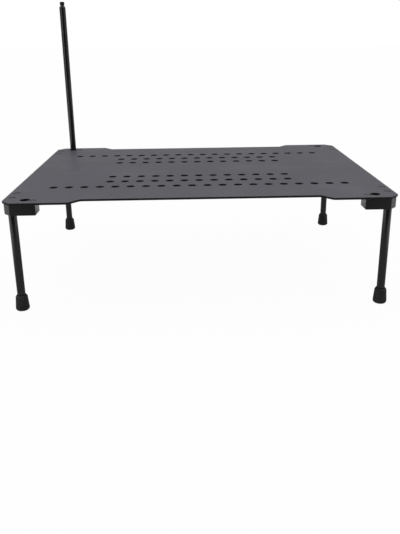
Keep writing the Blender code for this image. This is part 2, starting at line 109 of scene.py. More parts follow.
class Graph:                                  # fills a node tree
    def __init__(self, tree):
        self.tree = tree

    def feed(self, socket, value):
        for each in value if isinstance(value, list) else [value]:
            if isinstance(each, Wire):
                self.tree.links.new(each.socket, socket)
            else:
                socket.default_value = each

    def node(self, kind, settings=None, sockets=None, output=0):
        made = self.tree.nodes.new(kind)
        for name, value in (settings or {}).items():
            setattr(made, name, value)
        for key, value in (sockets or {}).items():
            self.feed(made.inputs[key], value)
        return Wire(self, made.outputs[output])

    def vector(self, x, y, z):
        return self.node("ShaderNodeCombineXYZ", {}, {"X": x, "Y": y, "Z": z})


# Geometry Nodes

def geometryTree(name, sizes):                # a tree with one named input for each size
    tree = bpy.data.node_groups.new(name, "GeometryNodeTree")
    tree.interface.new_socket("Geometry", in_out="INPUT", socket_type="NodeSocketGeometry")
    tree.interface.new_socket("Geometry", in_out="OUTPUT", socket_type="NodeSocketGeometry")
    for size, value in sizes.items():
        kind = "NodeSocketInt" if isinstance(value, int) else "NodeSocketFloat"
        tree.interface.new_socket(size, in_out="INPUT", socket_type=kind)
    graph = Graph(tree)
    start = graph.node("NodeGroupInput")
    return graph, start, {size: start.other(size) for size in sizes}


def endTree(graph, geometry, material):
    solid = graph.node("GeometryNodeRealizeInstances", {}, {"Geometry": geometry})
    welded = graph.node("GeometryNodeMergeByDistance", {}, {"Geometry": solid, "Distance": sameSeam})
    dressed = graph.node("GeometryNodeSetMaterial", {}, {"Geometry": welded, "Material": material})
    end = graph.tree.nodes.new("NodeGroupOutput")
    graph.feed(end.inputs[0], dressed)


def grownMesh(graph, sizes, start):           # start is the mesh that the tree begins from
    carrier = bpy.data.objects.new("carrier", start)
    bpy.context.scene.collection.objects.link(carrier)
    change = carrier.modifiers.new(graph.tree.name, "NODES")
    change.node_group = graph.tree
    for item in graph.tree.interface.items_tree:
        if item.in_out == "INPUT" and item.name in sizes:
            change[item.identifier] = sizes[item.name]
    evaluated = carrier.evaluated_get(bpy.context.evaluated_depsgraph_get())
    mesh = bpy.data.meshes.new_from_object(evaluated)
    bpy.data.objects.remove(carrier)
    shape = bmesh.new()
    shape.from_mesh(mesh)
    bmesh.ops.recalc_face_normals(shape, faces=shape.faces)
    shape.to_mesh(mesh)
    shape.free()
    return mesh


def joined(graph, parts):
    return graph.node("GeometryNodeJoinGeometry", {}, {0: parts})


def sweptWall(graph, path, points):           # points are (outwards, down) from the path
    lines = []
    for first, second in zip(points, points[1:]):
        ends = {"Start": graph.vector(*first, 0.0), "End": graph.vector(*second, 0.0)}
        lines.append(graph.node("GeometryNodeCurvePrimitiveLine", {}, ends))
    profile = joined(graph, lines)
    upright = graph.node("GeometryNodeSetCurveNormal", {"mode": "Z_UP"}, {"Curve": path})
    return graph.node("GeometryNodeCurveToMesh", {}, {"Curve": upright, "Profile Curve": profile})


def copiesOn(graph, points, shape):
    placed = graph.node("GeometryNodeInstanceOnPoints", {}, {"Points": points, "Instance": shape})
    return graph.node("GeometryNodeRealizeInstances", {}, {"Geometry": placed})


def circlePath(graph, radius, sides):
    sockets = {"Radius": radius, "Resolution": sides}
    return graph.node("GeometryNodeCurvePrimitiveCircle", {"mode": "RADIUS"}, sockets)


def pointRows(graph, length, width, along, across):
    sockets = {"Size X": length, "Size Y": width, "Vertices X": along, "Vertices Y": across}
    return graph.node("GeometryNodeMeshGrid", {}, sockets)


def moved(graph, geometry, offset):
    return graph.node("GeometryNodeSetPosition", {}, {"Geometry": geometry, "Offset": offset})


def lidOver(graph, walls, side, height):      # fills the open rims on the upper or lower side of the walls
    openEdge = 2 - graph.node("GeometryNodeInputMeshEdgeNeighbors")  # above 0 where a face is missing
    place = graph.node("GeometryNodeInputPosition")
    level = graph.node("ShaderNodeSeparateXYZ", {}, {0: place}, "Z")
    rim = openEdge * (level * side).above(0.0)
    curves = graph.node("GeometryNodeMeshToCurve", {}, {"Mesh": walls, "Selection": rim})
    lid = graph.node("GeometryNodeFillCurve", {"mode": "NGONS"}, {"Curve": curves})
    return moved(graph, lid, graph.vector(0.0, 0.0, height))


# Meshes

def filleted(corners, steps):                 # corners are (x, y, radius) round a closed outline
    outline = []
    for index, (x, y, radius) in enumerate(corners):
        if not radius:
            outline.append((x, y))
            continue
        corner = Vector((x, y))
        back = (Vector(corners[index - 1][:2]) - corner).normalized()
        ahead = (Vector(corners[(index + 1) % len(corners)][:2]) - corner).normalized()
        half = back.angle(ahead) / 2
        centre = corner + (back + ahead).normalized() * radius / sin(half)
        first = corner + back * radius * cos(half) / sin(half) - centre
        last = corner + ahead * radius * cos(half) / sin(half) - centre
        start = atan2(first.y, first.x)
        sweep = (atan2(last.y, last.x) - start + pi) % tau - pi
        for step in range(steps + 1):
            turn = start + sweep * step / steps
            outline.append((centre.x + radius * cos(turn), centre.y + radius * sin(turn)))
    return outline


def closedMesh(shape, name):
    bmesh.ops.remove_doubles(shape, verts=shape.verts, dist=samePoint)
    bmesh.ops.recalc_face_normals(shape, faces=shape.faces)
    mesh = bpy.data.meshes.new(name)
    shape.to_mesh(mesh)
    shape.free()
    return mesh


def turnedMesh(outline, sides):               # a closed outline of (radius, height) turned round Z
    shape = bmesh.new()
    rubbed = shape.faces.layers.float.new("rubbed")
    rings = []
    for step in range(sides):
        turn = tau * step / sides
        rings.append([shape.verts.new((r * cos(turn), r * sin(turn), z)) for r, z in outline])
    for ring, following in zip(rings, rings[1:] + rings[:1]):
        for index, end in enumerate(outline):
            start = outline[index - 1]
            if start[0] > 0 or end[0] > 0:
                corners = (ring[index - 1], ring[index], following[index], following[index - 1])
                face = shape.faces.new(corners)
                face[rubbed] = (Vector(start) - Vector(end)).length < wornEdge
    return closedMesh(shape, "turned")


def prismMesh(outline, low, high):
    shape = bmesh.new()
    lower = [shape.verts.new((x, y, low)) for x, y in outline]
    upper = [shape.verts.new((x, y, high)) for x, y in outline]
    shape.faces.new(lower)
    shape.faces.new(upper)
    for index in range(len(outline)):
        shape.faces.new((lower[index - 1], lower[index], upper[index], upper[index - 1]))
    return closedMesh(shape, "prism")


def rounded(mesh, chosen, width, steps):      # rounds the edges that chosen picks
    shape = bmesh.new()
    shape.from_mesh(mesh)
    rubbed = shape.faces.layers.float.new("rubbed")
    edges = [edge for edge in shape.edges if chosen(edge)]
    done = bmesh.ops.bevel(shape, geom=edges, offset=width, offset_type="OFFSET", segments=steps,
                           profile=0.5, affect="EDGES", clamp_overlap=True)
    for face in done["faces"]:
        face[rubbed] = 1.0
    return closedMesh(shape, "rounded")


def combined(mesh, others, operation="DIFFERENCE"):
    body = bpy.data.objects.new("body", mesh)
    bpy.context.scene.collection.objects.link(body)
    guides = []
    for other in others:
        guides.append(bpy.data.objects.new("guide", other))
        bpy.context.scene.collection.objects.link(guides[-1])
        step = body.modifiers.new("step", "BOOLEAN")
        step.operation = operation
        step.solver = "EXACT"
        step.object = guides[-1]
    evaluated = body.evaluated_get(bpy.context.evaluated_depsgraph_get())
    result = bpy.data.meshes.new_from_object(evaluated)
    for spare in [body] + guides:
        bpy.data.objects.remove(spare)
    return result


def tubeOutline(sizes, low, high):            # outline of a tube whose ends are broken
    bore, radius, edge = sizes["bore"], sizes["radius"], sizes["endBreak"]
    corners = [(bore, low, edge), (radius, low, edge), (radius, high, edge), (bore, high, edge)]
    return filleted(corners, sizes["endSteps"])


def standAt(mesh, x, y):                      # a piece turned round Z moves over its place
    mesh.transform(Matrix.Translation((x, y, 0)))
    return mesh


def flaredRod(x, y, radius, low, high, flare, sides):  # a hole's cutter, wider at its low end
    wide = radius + 2 * flare
    outline = [(0, low - flare), (wide, low - flare), (radius, low + flare), (radius, high), (0, high)]
    return standAt(turnedMesh(outline, sides), x, y)


def lieAlongX(mesh, x, y, z):                 # a piece turned round Z is laid along X
    mesh.transform(Matrix.Translation((x, y, z)) @ Matrix.Rotation(pi / 2, 4, "Y"))
    return mesh


def sweptAlongU(outline, low, high):          # an outline of (v, w) swept from low to high along u
    mesh = prismMesh(outline, low, high)
    mesh.transform(Matrix(((0, 0, 1, 0), (1, 0, 0, 0), (0, 1, 0, 0), (0, 0, 0, 1))))
    return mesh


def addPiece(name, mesh, body, slot, nodes, smooth=30):  # edges under smooth degrees are shaded smooth
    mesh.name = name
    if not mesh.materials:
        mesh.materials.append(finishes[slot])
    mesh.shade_smooth()
    mesh.set_sharp_from_angle(angle=radians(smooth))
    piece = bpy.data.objects.new(name, mesh)
    bpy.context.scene.collection.objects.link(piece)
    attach(piece, body)
    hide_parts(*nodes)


def pieceName(label, corner):                 # socketBush and front_left give socketBushFrontLeft
    return label + "".join(word.capitalize() for word in corner.split("_"))


# Places at a corner
# u runs inwards from the short edge, v inwards from the long edge and w up from the plate's underside

def cornerPlace(corner):                      # from those three to world coordinates
    sideX, sideY = cornerSides[corner]
    return Matrix((
        (-sideX, 0, 0, sideX * plateHigh.x),
        (0, -sideY, 0, sideY * plateHigh.y),
        (0, 0, 1, plateLow.z),
        (0, 0, 0, 1),
    ))


def inCorner(node):                           # box of a front left node in corner coordinates
    low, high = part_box(node)
    return low - plateLow, high - plateLow


def middle(node):
    low, high = inCorner(node)
    return (low + high) / 2


def fourPoints(graph, node):                  # over a front left node and its likes at the other corners
    centre = middle(node) + plateLow
    return pointRows(graph, -2 * centre.x, -2 * centre.y, 2, 2)


def addAtCorners(label, mesh, slot, node, rides):
    for corner in cornerSides:
        made = mesh.copy()
        place = cornerPlace(corner)
        made.transform(place)
        if place.determinant() < 0:
            made.flip_normals()
        body = "leg_" + corner if rides == "leg" else "root"
        addPiece(pieceName(label, corner), made, body, slot, [node + corner])


# Finishes

patterns = {                                  # detail of the noise, and the values that it comes in between
    "cloud": (3.0, 0.3, 0.7),
    "handled": (5.0, 0.52, 0.74),
    "wear": (4.0, 0.38, 0.62),
    "dust": (6.0, 0.5, 0.8),
    "stain": (5.0, 0.45, 0.75),
}
plateLook = {
    "darker": (0.086, 0.083, 0.101),
    "lighter": (0.097, 0.094, 0.113),
    # worn edge colour; on the plate's edge breaks it is also a painted highlight line
    "bare": (0.22, 0.22, 0.24),
    "paintedShadeOnCuts": (0.014, 0.0135, 0.016),        # painted shade: hole walls, countersinks and the plate's edge faces are coloured nearly black
    "specular": 0.16,
    "roughness": 0.50,
    "grainRoughness": 0.10,
    "polish": 0.05,
    "grainDepth": 0.012 * mm,
    "grainSize": 0.5 * mm,
    "grainDetail": 2.0,
    "grainStretch": (1, 1, 1),
    "cloudSize": 90 * mm,
    "handledSize": 45 * mm,
    "wearSize": 14 * mm,
    "wear": 0.25,
}
bracketLook = {
    "darker": (0.008, 0.008, 0.009),
    "lighter": (0.011, 0.011, 0.0125),
    "bare": (0.08, 0.08, 0.09),
    "specular": 0.40,
    "roughness": 0.30,
    "grainRoughness": 0.12,
    "polish": 0.06,
    "grainDepth": 0.012 * mm,
    "grainSize": 0.4 * mm,
    "grainDetail": 2.0,
    "grainStretch": (1, 1, 1),
    "cloudSize": 30 * mm,
    "handledSize": 18 * mm,
    "wearSize": 6 * mm,
    "wear": 0.4,
}
tubeLook = {
    "darker": (0.0055, 0.0055, 0.0065),
    "lighter": (0.0085, 0.0085, 0.0098),
    "bare": (0.08, 0.08, 0.09),
    "specular": 0.72,
    "roughness": 0.21,
    "grainRoughness": 0.12,
    "polish": 0.05,
    "grainDepth": 0.003 * mm,
    "grainSize": 0.35 * mm,
    "grainDetail": 2.0,
    "grainStretch": (1, 1, 0.03),             # drawn tube: the grain runs along it
    "cloudSize": 40 * mm,
    "handledSize": 20 * mm,
    "wearSize": 6 * mm,
    "wear": 0.4,
}
rubberLook = {
    "darker": (0.019, 0.019, 0.020),
    "lighter": (0.025, 0.025, 0.0265),
    "dust": (0.06, 0.058, 0.055),
    "dustShare": 0.25,
    "specular": 0.35,
    "roughness": 0.62,
    "grainRoughness": 0.2,
    "dustRoughness": 0.1,
    "grainDepth": 0.03 * mm,
    "grainSize": 0.35 * mm,
    "grainDetail": 3.0,
    "cloudSize": 9 * mm,
    "dustSize": 2.5 * mm,
}
metalLook = {                                 # shared by the bare metals
    "stainShare": 0.5,
    "lineRoughness": 0.2,
    "stainRoughness": 0.1,
    "lineDepth": 0.01 * mm,
    "lineSize": 0.3 * mm,
    "lineDetail": 3.0,
    "stainSize": 3 * mm,
}


def newSurface(name, metallic, specular):
    made = bpy.data.materials.new(name)
    made.use_nodes = True
    graph = Graph(made.node_tree)
    shader = made.node_tree.nodes["Principled BSDF"]
    shader.inputs["Metallic"].default_value = metallic
    shader.inputs["Specular IOR Level"].default_value = specular
    return made, graph, shader


def noise(graph, place, size, detail, stretch=(1, 1, 1)):
    if stretch != (1, 1, 1):
        place = graph.node("ShaderNodeMapping", {}, {"Vector": place, "Scale": stretch})
    return graph.node("ShaderNodeTexNoise", {}, {"Vector": place, "Scale": 1 / size, "Detail": detail})


def pattern(graph, kind, place, size):
    detail, low, high = patterns[kind]
    return noise(graph, place, size, detail).spread(low, high)


def mixed(graph, share, first, second):
    first = (*first, 1.0) if isinstance(first, tuple) else first
    colours = {0: share, 6: first, 7: (*second, 1.0)}
    return graph.node("ShaderNodeMix", {"data_type": "RGBA"}, colours, 2)


def marked(graph, attribute):                 # a face attribute of the mesh
    return graph.node("ShaderNodeAttribute", {"attribute_name": attribute}, output="Fac")


def bumped(graph, shader, height, depth):
    made = graph.node("ShaderNodeBump", {}, {"Height": height, "Distance": depth})
    graph.feed(shader.inputs["Normal"], made)


def anodised(name, look):                     # blasted and anodised aluminium
    made, graph, shader = newSurface(name, metallic=0.0, specular=look["specular"])
    place = graph.node("ShaderNodeTexCoord", output="Object")
    cloud = pattern(graph, "cloud", place, look["cloudSize"])
    grain = noise(graph, place, look["grainSize"], look["grainDetail"], look["grainStretch"])
    handled = pattern(graph, "handled", place, look["handledSize"])
    # edge wear toward a lighter colour; on the plate's edge breaks this also paints a highlight line
    wornAndHighlit = marked(graph, "rubbed") * pattern(graph, "wear", place, look["wearSize"]) * look["wear"]
    base = mixed(graph, cloud, look["darker"], look["lighter"])
    # painted shade: faces marked cut take a nearly black colour
    if "paintedShadeOnCuts" in look:
        base = mixed(graph, marked(graph, "cut"), base, look["paintedShadeOnCuts"])
    graph.feed(shader.inputs["Base Color"], mixed(graph, wornAndHighlit, base, look["bare"]))
    rough = look["roughness"] + (grain - 0.5) * look["grainRoughness"] - handled * look["polish"]
    graph.feed(shader.inputs["Roughness"], rough)
    bumped(graph, shader, grain, look["grainDepth"])
    return made


def rubber(name, look):
    made, graph, shader = newSurface(name, metallic=0.0, specular=look["specular"])
    place = graph.node("ShaderNodeTexCoord", output="Object")
    cloud = pattern(graph, "cloud", place, look["cloudSize"])
    grain = noise(graph, place, look["grainSize"], look["grainDetail"])
    dust = pattern(graph, "dust", place, look["dustSize"])
    base = mixed(graph, cloud, look["darker"], look["lighter"])
    graph.feed(shader.inputs["Base Color"], mixed(graph, dust * look["dustShare"], base, look["dust"]))
    rough = look["roughness"] + (grain - 0.5) * look["grainRoughness"] + dust * look["dustRoughness"]
    graph.feed(shader.inputs["Roughness"], rough)
    bumped(graph, shader, grain, look["grainDepth"])
    return made


def metal(name, colour, tarnish, roughness, stretch):
    look = metalLook
    made, graph, shader = newSurface(name, metallic=1.0, specular=0.5)
    place = graph.node("ShaderNodeTexCoord", output="Object")
    lines = noise(graph, place, look["lineSize"], look["lineDetail"], stretch)
    stain = pattern(graph, "stain", place, look["stainSize"])
    graph.feed(shader.inputs["Base Color"], mixed(graph, stain * look["stainShare"], colour, tarnish))
    rough = roughness + (lines - 0.5) * look["lineRoughness"] + stain * look["stainRoughness"]
    graph.feed(shader.inputs["Roughness"], rough)
    bumped(graph, shader, lines, look["lineDepth"])
    return made


finishes = {                                  # a metal has its colour, tarnish, roughness and lines' stretch
    "plate_anodised": anodised("anodisedPlate", plateLook),
    "bracket_black": anodised("anodisedBracket", bracketLook),
    "tube_black": anodised("anodisedTube", tubeLook),
    "rubber_black": rubber("mouldedRubber", rubberLook),
    "rivet_grey": metal("anodisedRivet", (0.10, 0.098, 0.112), (0.05, 0.05, 0.058), 0.42, (1, 1, 1)),
    "steel": metal("turnedSteel", (0.40, 0.40, 0.41), (0.22, 0.21, 0.20), 0.30, (1, 1, 0.1)),
    "spring_steel": metal("springSteel", (0.16, 0.16, 0.17), (0.08, 0.075, 0.07), 0.36, (1, 0.05, 1)),
    "brass": metal("turnedBrass", (0.50, 0.34, 0.12), (0.24, 0.15, 0.06), 0.34, (1, 1, 0.1)),
}
print("finishes ready:", len(finishes))


# Perforated plate

rivetSpots = ("side_1", "side_2", "front")
plateSizes = {
    "thickness": plateHigh.z - plateLow.z,
    "edgeBreak": 0.08 * mm,
    "filletSteps": 7,
    "holeDiameter": 9.15 * mm,
    "holePitch": 16.75 * mm,
    "outerHoles": 20,
    "innerHoles": 13,
    "outerRowY": 90.5 * mm,
    "rowSpacing": 24.9 * mm,
    "holeSides": 36,
    "socketDiameter": 10.0 * mm,
    "socketSides": 44,
    "mouthDiameter": 7.0 * mm,                # countersink for a rivet head
    "rivetHoleDiameter": 3.8 * mm,
    "mouthSides": 28,
}
outlineSizes = {
    "chamfer": 10 * mm,                       # cut corner
    "chamferRadius": 2.5 * mm,
    "recessDepth": 12 * mm,                   # shallow recess in the long edges
    "recessLength": 244 * mm,
    "recessSlant": 10.5 * mm,
    "recessRadius": 4 * mm,
}


def outlineStart(sizes):                      # closed line of corners that carry their own fillet radius
    halfLength = plateHigh.x
    halfDepth = plateHigh.y
    quarter = [
        (halfLength, halfDepth - sizes["chamfer"], sizes["chamferRadius"]),
        (halfLength - sizes["chamfer"], halfDepth, sizes["chamferRadius"]),
        (sizes["recessLength"] / 2 + sizes["recessSlant"], halfDepth, sizes["recessRadius"]),
        (sizes["recessLength"] / 2, halfDepth - sizes["recessDepth"], sizes["recessRadius"]),
    ]
    corners = []
    for sideX, sideY in ((1, 1), (-1, 1), (-1, -1), (1, -1)):
        turned = [(sideX * x, sideY * y, radius) for x, y, radius in quarter]
        corners += turned if sideX * sideY > 0 else turned[::-1]
    count = len(corners)
    mesh = bpy.data.meshes.new("plateOutline")
    loop = [(index, (index + 1) % count) for index in range(count)]
    mesh.from_pydata([(x, y, 0) for x, y, _ in corners], loop, [])
    radii = mesh.attributes.new("filletRadius", "FLOAT", "POINT")
    radii.data.foreach_set("value", [radius for _, _, radius in corners])
    return mesh


def plateTree(sizes):
    graph, start, given = geometryTree("perforatedPlate", sizes)
    half = given["thickness"] / 2
    edge = given["edgeBreak"]
    radius = graph.node("GeometryNodeInputNamedAttribute", {"data_type": "FLOAT"}, {"Name": "filletRadius"})
    line = graph.node("GeometryNodeMeshToCurve", {}, {"Mesh": start})
    rounding = {"Curve": line, "Count": given["filletSteps"], "Radius": radius}
    outline = graph.node("GeometryNodeFilletCurve", {"mode": "POLY"}, rounding)
    rows = []
    for row, count in enumerate((given["outerHoles"], given["innerHoles"], given["innerHoles"])):
        length = (count - 1) * given["holePitch"]
        width = 2 * (given["outerRowY"] - row * given["rowSpacing"])
        rows.append(pointRows(graph, length, width, count, 2))
    holeCircle = circlePath(graph, given["holeDiameter"] / 2, given["holeSides"])
    holes = copiesOn(graph, joined(graph, rows), holeCircle)
    socketCircle = circlePath(graph, given["socketDiameter"] / 2, given["socketSides"])
    poleHoles = copiesOn(graph, fourPoints(graph, "socket_bush_front_left"), socketCircle)
    mouths = [fourPoints(graph, "rivet_front_left_" + spot) for spot in rivetSpots]
    rivetRadius = given["rivetHoleDiameter"] / 2
    rivetCircle = circlePath(graph, rivetRadius, given["mouthSides"])
    rivetHoles = copiesOn(graph, joined(graph, mouths), rivetCircle)
    flare = given["mouthDiameter"] / 2 - rivetRadius
    breaks = []
    for path, away in ((outline, -edge), (joined(graph, [holes, poleHoles]), edge)):
        breaks.append(sweptWall(graph, path, [(away, -half), (0.0, edge - half)]))
        breaks.append(sweptWall(graph, path, [(0.0, half - edge), (away, half)]))
    everyPath = joined(graph, [outline, holes, poleHoles])
    bores = sweptWall(graph, everyPath, [(0.0, edge - half), (0.0, half - edge)])
    cones = sweptWall(graph, rivetHoles, [(flare, -half), (0.0, flare - half), (0.0, half)])
    named = []
    # cut marks bores, countersinks and edge faces for painted shade; rubbed marks edge breaks for wear and a
    # painted highlight
    for mark, faces in (("rubbed", breaks), ("cut", [bores, cones])):
        settings = {"data_type": "FLOAT", "domain": "FACE"}
        sockets = {"Geometry": joined(graph, faces), "Name": mark, "Value": 1.0}
        named.append(graph.node("GeometryNodeStoreNamedAttribute", settings, sockets))
    seam = {"Geometry": joined(graph, named), "Distance": sameSeam}
    walls = graph.node("GeometryNodeMergeByDistance", {}, seam)
    lids = [lidOver(graph, walls, 1.0, half), lidOver(graph, walls, -1.0, -half)]
    whole = joined(graph, [walls] + lids)
    raised = moved(graph, whole, (0, 0, (plateLow.z + plateHigh.z) / 2))
    endTree(graph, raised, finishes["plate_anodised"])
    return graph


plateMesh = grownMesh(plateTree(plateSizes), plateSizes, outlineStart(outlineSizes))
addPiece("tablePlate", plateMesh, "root", "plate_anodised", ["table_plate"], smooth=20)
print("plate ready:", len(plateMesh.polygons), "faces")


# Rivets

rivetSizes = {
    "headRadius": 2.9 * mm,
    "headEdge": 0.25 * mm,
    "headCrown": 0.16 * mm,                   # fall of the head from its dimple to its edge
    "dimpleRadius": 1.3 * mm,
    "dimpleDepth": 0.6 * mm,
    "lipShare": 0.6,                          # depth of the dimple's lip, as a share of headEdge
    "tailShare": 0.5,                         # and width of the tail's edge breaks
    "shankRadius": 1.6 * mm,
    "tailRadius": 2.3 * mm,
    "tailThickness": 0.3 * mm,
    "sides": 32,
}
dimpleProfile = ((0.0, 1.0), (0.55, 0.9), (0.85, 0.5))  # shares of its radius and depth, from its middle


def rivetTree(sizes):
    graph, _, given = geometryTree("rivets", sizes)
    head = given["headRadius"]
    edge = given["headEdge"]
    crown = given["headCrown"]
    dimple = given["dimpleRadius"]
    depth = given["dimpleDepth"]
    shank = given["shankRadius"]
    tail = given["tailRadius"]
    tailEdge = edge * given["tailShare"]
    flange = given["tailThickness"]
    path = circlePath(graph, head, given["sides"])
    shapes = []
    for spots in (rivetSpots[:2], rivetSpots[2:]):
        low, high = inCorner("rivet_front_left_" + spots[0])
        reach = high.z - low.z
        points = [(dimple * wide - head, depth * deep) for wide, deep in dimpleProfile]
        points += [
            (dimple - head, edge * given["lipShare"]),
            (dimple + edge - head, 0.0),
            (-edge, crown),
            (0.0, crown + edge),
            (shank - head, head - shank + crown + edge),
            (shank - head, reach - flange),
            (tail - tailEdge - head, reach - flange),
            (tail - head, reach - flange + tailEdge),
            (tail - head, reach - tailEdge),
            (tail - tailEdge - head, reach),
            (-head, reach),
        ]
        shape = sweptWall(graph, path, points)
        for spot in spots:
            shapes.append(copiesOn(graph, fourPoints(graph, "rivet_front_left_" + spot), shape))
    raised = moved(graph, joined(graph, shapes), (0, 0, plateLow.z + high.z))
    endTree(graph, raised, finishes["rivet_grey"])
    return graph


rivetMesh = grownMesh(rivetTree(rivetSizes), rivetSizes, bpy.data.meshes.new("empty"))
rivetNodes = [f"rivet_{corner}_{spot}" for corner in cornerSides for spot in rivetSpots]
addPiece("rivets", rivetMesh, "root", "rivet_grey", rivetNodes)
print("rivets ready:", len(rivetMesh.polygons), "faces")


# Corner brackets

bracketSizes = {
    "outlineRadius": 1.2 * mm,
    "outlineSteps": 8,
    "frontLength": 35 * mm,
    "frontDepth": 18.7 * mm,
    "sideLength": 52 * mm,
    "setback": 0.8 * mm,
    "bottomRadius": 0.8 * mm,
    "bottomSteps": 5,
    "armEndHeight": 6.2 * mm,
    "armTaperLength": 26 * mm,
    "slotWall": 2 * mm,
    "roof": 1.5 * mm,
    "mouthFlare": 0.2 * mm,
    "accessRadius": 2.7 * mm,
    "accessSides": 32,
    "socketRadius": 4.7 * mm,
    "socketSides": 48,
    "pinHoleRadius": 1.8 * mm,
    "pinHoleSides": 36,
    "rivetHoleRadius": 1.9 * mm,
    "rivetHoleSides": 28,
}
legSizes = {                                  # the tube, which the bracket's slot fits
    "radius": 4.25 * mm,
    "bore": 3.25 * mm,
    "endBreak": 0.25 * mm,
    "endSteps": 3,
    "sides": 48,
}
bracketLow, bracketHigh = inCorner("corner_bracket_front_left")
pivot = middle("pivot_pin_front_left")
legMiddle = middle("leg_tube_front_left")
slotHalf = legSizes["radius"] + clearance


def slotCutter(sizes):                        # the channel that the leg folds into, with a flared mouth
    low = bracketLow.z
    flare = sizes["mouthFlare"]
    roofUnder = bracketHigh.z - sizes["roof"]
    outline = [
        (legMiddle.x - slotHalf - 2 * flare, low - flare),
        (legMiddle.x + slotHalf + 2 * flare, low - flare),
        (legMiddle.x + slotHalf, low + flare),
        (legMiddle.x + slotHalf, roofUnder),
        (legMiddle.x - slotHalf, roofUnder),
        (legMiddle.x - slotHalf, low + flare),
    ]
    cutter = prismMesh(outline, legMiddle.y - slotHalf, 2 * sizes["sideLength"])
    cutter.transform(Matrix(((1, 0, 0, 0), (0, 0, 1, 0), (0, 1, 0, 0), (0, 0, 0, 1))))  # swaps v and w
    cutter.flip_normals()
    return cutter


def rivetHole(spot, low, high):               # cutter through the bracket's roof or through the spring
    centre = middle("rivet_front_left_" + spot)
    radius, sides = bracketSizes["rivetHoleRadius"], bracketSizes["rivetHoleSides"]
    return flaredRod(centre.x, centre.y, radius, low, high, 0, sides)


def bracketMesh(sizes):
    chamfer = outlineSizes["chamfer"]
    front = sizes["setback"]
    back = front + sizes["frontDepth"]
    outer = legMiddle.x - slotHalf - sizes["slotWall"]
    inner = legMiddle.x + slotHalf + sizes["slotWall"]
    radius = sizes["outlineRadius"]
    low, high = bracketLow.z, bracketHigh.z
    outline = filleted([
        (chamfer - front, front, radius),
        (sizes["frontLength"], front, radius),
        (sizes["frontLength"], back, radius),
        (inner, back, radius),
        (inner, sizes["sideLength"], radius),
        (outer, sizes["sideLength"], radius),
        (outer, chamfer - outer, radius),
    ], sizes["outlineSteps"])
    block = prismMesh(outline, low, high)
    bottom = lambda edge: max(vert.co.z for vert in edge.verts) < low + sameLevel
    block = rounded(block, bottom, sizes["bottomRadius"], sizes["bottomSteps"])
    flare = sizes["mouthFlare"]
    socket = middle("socket_bush_front_left")
    access = middle("rivet_front_left_front")
    pinRadius = sizes["pinHoleRadius"]
    pinEnd = pivot.x * 2 - outer
    pinHole = turnedMesh([                    # flared at the bracket's outer side
        (0, -inner),
        (pinRadius + 2 * flare + inner, -inner),
        (pinRadius, outer + 2 * flare),
        (pinRadius, pinEnd),
        (0, pinEnd),
    ], sizes["pinHoleSides"])
    roofUnder = high - sizes["roof"]
    cutters = [
        slotCutter(sizes),
        flaredRod(socket.x, socket.y, sizes["socketRadius"], low, -low, flare, sizes["socketSides"]),
        flaredRod(access.x, access.y, sizes["accessRadius"], low, roofUnder, flare, sizes["accessSides"]),
        lieAlongX(pinHole, 0, pivot.y, pivot.z),
    ]
    for spot in rivetSpots:
        cutters.append(rivetHole(spot, low - high, -low))
    return taperedArm(combined(block, cutters), sizes)


def taperedArm(mesh, sizes):                  # the side arm gets lower towards its end
    shape = bmesh.new()
    shape.from_mesh(mesh)
    start = sizes["sideLength"] - sizes["armTaperLength"]
    everything = shape.verts[:] + shape.edges[:] + shape.faces[:]
    bmesh.ops.bisect_plane(shape, geom=everything, dist=samePoint,
                           plane_co=(0, start, 0), plane_no=(0, 1, 0))
    roofUnder = bracketHigh.z - sizes["roof"]
    fullDepth = roofUnder - bracketLow.z
    endDepth = sizes["armEndHeight"] - sizes["roof"]
    for vert in shape.verts:
        share = (vert.co.y - start) / sizes["armTaperLength"]
        if share > 0 and vert.co.z < roofUnder:
            vert.co.z = roofUnder + (vert.co.z - roofUnder) * (1 + (endDepth / fullDepth - 1) * share)
    return closedMesh(shape, "bracket")


addAtCorners("cornerBracket", bracketMesh(bracketSizes), "bracket_black", "corner_bracket_", "root")
print("brackets ready")


# Spring, bush and pin in each bracket

springSizes = {
    "thickness": 0.4 * mm,
    "bend": 2.4 * mm,
    "bendSteps": 16,
}
bushSizes = {
    "wall": 0.9 * mm,
    "chamfer": 0.35 * mm,
    "topChamfer": 0.175 * mm,
    "sides": 48,
}
pinSizes = {
    "dome": 0.3 * mm,
    "dimple": 0.7 * mm,
    "domeProfile": ((1.0, 1.0), (0.96, 0.45), (0.84, 0.1), (0.7, 0.0)),  # shares of radius and dome
    "dimpleProfile": ((1.0, 0.0), (0.6, 0.6), (0.0, 1.0)),  # shares of dimple and dome
    "sides": 32,
}


def springMesh(sizes):                        # flat under the roof, stepped down over the lug's cam
    low, high = inCorner("leaf_spring_front_left")
    bendStart = pivot.y + slotHalf
    drop = high.z - sizes["thickness"] - low.z
    under = [(low.y, low.z)]
    for step in range(sizes["bendSteps"] + 1):
        share = step / sizes["bendSteps"]
        under.append((bendStart + sizes["bend"] * share, low.z + drop * (1 - cos(pi * share)) / 2))
    under.append((high.y, low.z + drop))
    over = [(v, w + sizes["thickness"]) for v, w in reversed(under)]
    holes = [rivetHole(spot, low.z - clearance, high.z + clearance) for spot in rivetSpots[:2]]
    return combined(sweptAlongU(under + over, low.x, high.x), holes)


def bushMesh(sizes):
    low, high = inCorner("socket_bush_front_left")
    outer = (high.x - low.x) / 2
    inner = outer - sizes["wall"]
    edge = sizes["chamfer"]
    topEdge = sizes["topChamfer"]
    outline = [
        (inner, low.z + edge), (inner + edge, low.z),
        (outer - edge, low.z), (outer, low.z + edge),
        (outer, high.z - topEdge), (outer - topEdge, high.z),
        (inner + edge, high.z), (inner, high.z - edge),
    ]
    centre = middle("socket_bush_front_left")
    return standAt(turnedMesh(outline, sizes["sides"]), centre.x, centre.y)


